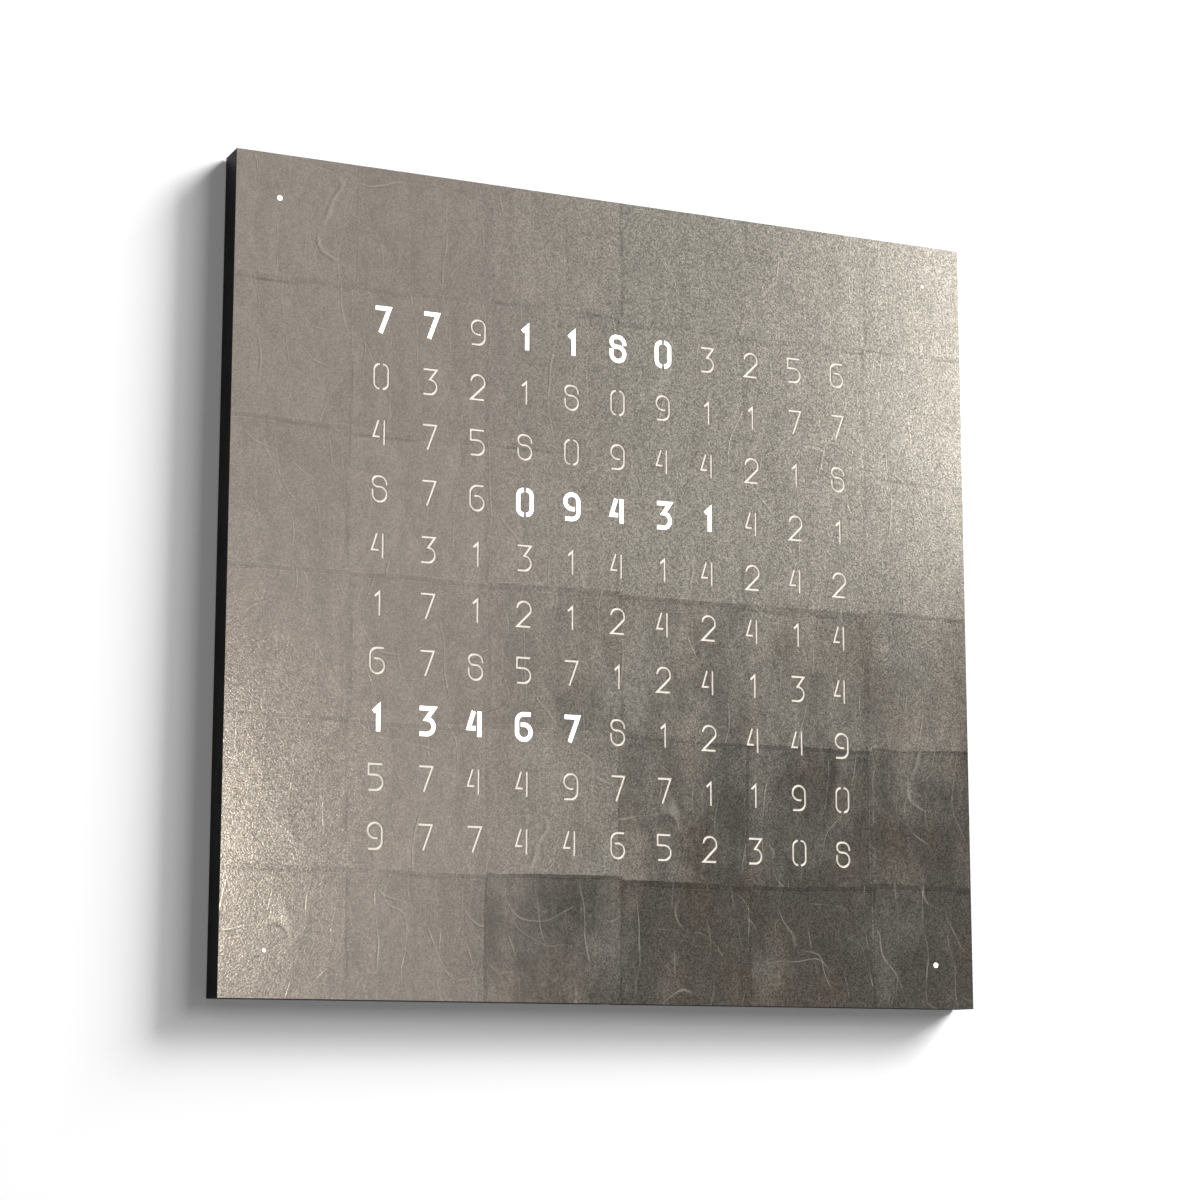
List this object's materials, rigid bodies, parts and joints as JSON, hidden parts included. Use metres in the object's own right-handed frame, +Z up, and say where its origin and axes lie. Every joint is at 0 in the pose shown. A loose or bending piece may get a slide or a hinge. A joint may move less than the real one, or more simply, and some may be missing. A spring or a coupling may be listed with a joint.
{
  "type": "word clock",
  "caption": "Shallow square wall clock: light shines through stencil characters cut in a metal-leaf cover that pulls off a black wooden case.",
  "frame": {"origin": "centre of the clock's flat back, on the wall", "axes": "+X to the viewer's right, +Y into the wall, +Z up; the front faces -Y"},
  "size_m": [0.45, 0.02, 0.45],
  "materials": {
    "leafed_steel": "metal leaf, burnished and aged",
    "plain_steel": "mill finish",
    "black_lacquered_wood": "black lacquer, satin",
    "black_coated_steel": "black powder coat",
    "zinc_screw_steel": "black zinc",
    "nickel_magnet": "nickel plate",
    "opal_acrylic": "opal, matt face",
    "white_grid_plastic": "moulded, satin",
    "black_plastic": "moulded, fine grain",
    "nylon": "natural nylon",
    "white_board": "white solder mask",
    "green_board": "green solder mask",
    "lamp_package": "white package with a yellow window",
    "clear_acrylic": "clear, polished ends",
    "shield_can": "tinned shield",
    "chip_resin": "moulded resin",
    "ferrite": "sintered ferrite",
    "crystal_can": "drawn can",
    "cell_steel": "nickel-plated steel",
    "button_plastic": "satin",
    "switch_plastic": "moulded",
    "plunger_plastic": "moulded",
    "lead_jacket": "soft PVC",
    "connector_plastic": "natural nylon"
  },
  "bodies": {
    "housing": {"rail_top": "black_lacquered_wood", "rail_bottom": "black_lacquered_wood", "rail_left": "black_lacquered_wood", "rail_right": "black_lacquered_wood", "corner_block_tl": "black_plastic", "corner_block_tr": "black_plastic", "corner_block_bl": "black_plastic", "corner_block_br": "black_plastic", "cover_magnets": "nickel_magnet", "back_plate": "black_coated_steel", "back_plate_screws": "zinc_screw_steel", "diffuser_sheet": "opal_acrylic", "light_grid": "white_grid_plastic", "lamp_board_upper": "white_board", "lamp_board_lower": "white_board", "board_clips": "nylon", "board_links": "switch_plastic", "dot_light_pipes": "clear_acrylic", "dot_boards": "white_board", "dot_lamps": "lamp_package", "dot_leads": "lead_jacket", "control_board": "green_board", "microcontroller_module": "shield_can", "clock_chip": "chip_resin", "quartz_crystal": "crystal_can", "power_inductor": "ferrite", "coin_cell_holder": "switch_plastic", "coin_cell": "cell_steel", "light_sensor": "clear_acrylic", "sensor_lens": "clear_acrylic", "button_guide": "black_plastic", "switch_bodies": "switch_plastic", "inlet_cup": "black_plastic", "dc_inlet": "switch_plastic", "feed_lead": "lead_jacket", "lead_connectors": "connector_plastic", "lamp_row_01": "lamp_package", "lamp_row_02": "lamp_package", "lamp_row_03": "lamp_package", "lamp_row_04": "lamp_package", "lamp_row_05": "lamp_package", "lamp_row_06": "lamp_package", "lamp_row_07": "lamp_package", "lamp_row_08": "lamp_package", "lamp_row_09": "lamp_package", "lamp_row_10": "lamp_package"},
    "front_cover": {"front_plate": "leafed_steel", "locating_tabs": "plain_steel"},
    "minus_button": {"button_minus": "button_plastic", "plunger_minus": "plunger_plastic"},
    "set_button": {"button_set": "button_plastic", "plunger_set": "plunger_plastic"},
    "plus_button": {"button_plus": "button_plastic", "plunger_plus": "plunger_plastic"}
  },
  "joints": [
    {"name": "cover_pull", "type": "slide", "parent": "housing", "child": "front_cover", "axis": [0, -1, 0], "range_m": [0, 0.04]},
    {"name": "minus_press", "type": "slide", "parent": "housing", "child": "minus_button", "axis": [-1, 0, 0], "range_m": [0, 0.0008], "stiffness_N_per_m": 2000, "springref_m": -0.0003},
    {"name": "set_press", "type": "slide", "parent": "housing", "child": "set_button", "axis": [-1, 0, 0], "range_m": [0, 0.0008], "stiffness_N_per_m": 2000, "springref_m": -0.0003},
    {"name": "plus_press", "type": "slide", "parent": "housing", "child": "plus_button", "axis": [-1, 0, 0], "range_m": [0, 0.0008], "stiffness_N_per_m": 2000, "springref_m": -0.0003}
  ]
}
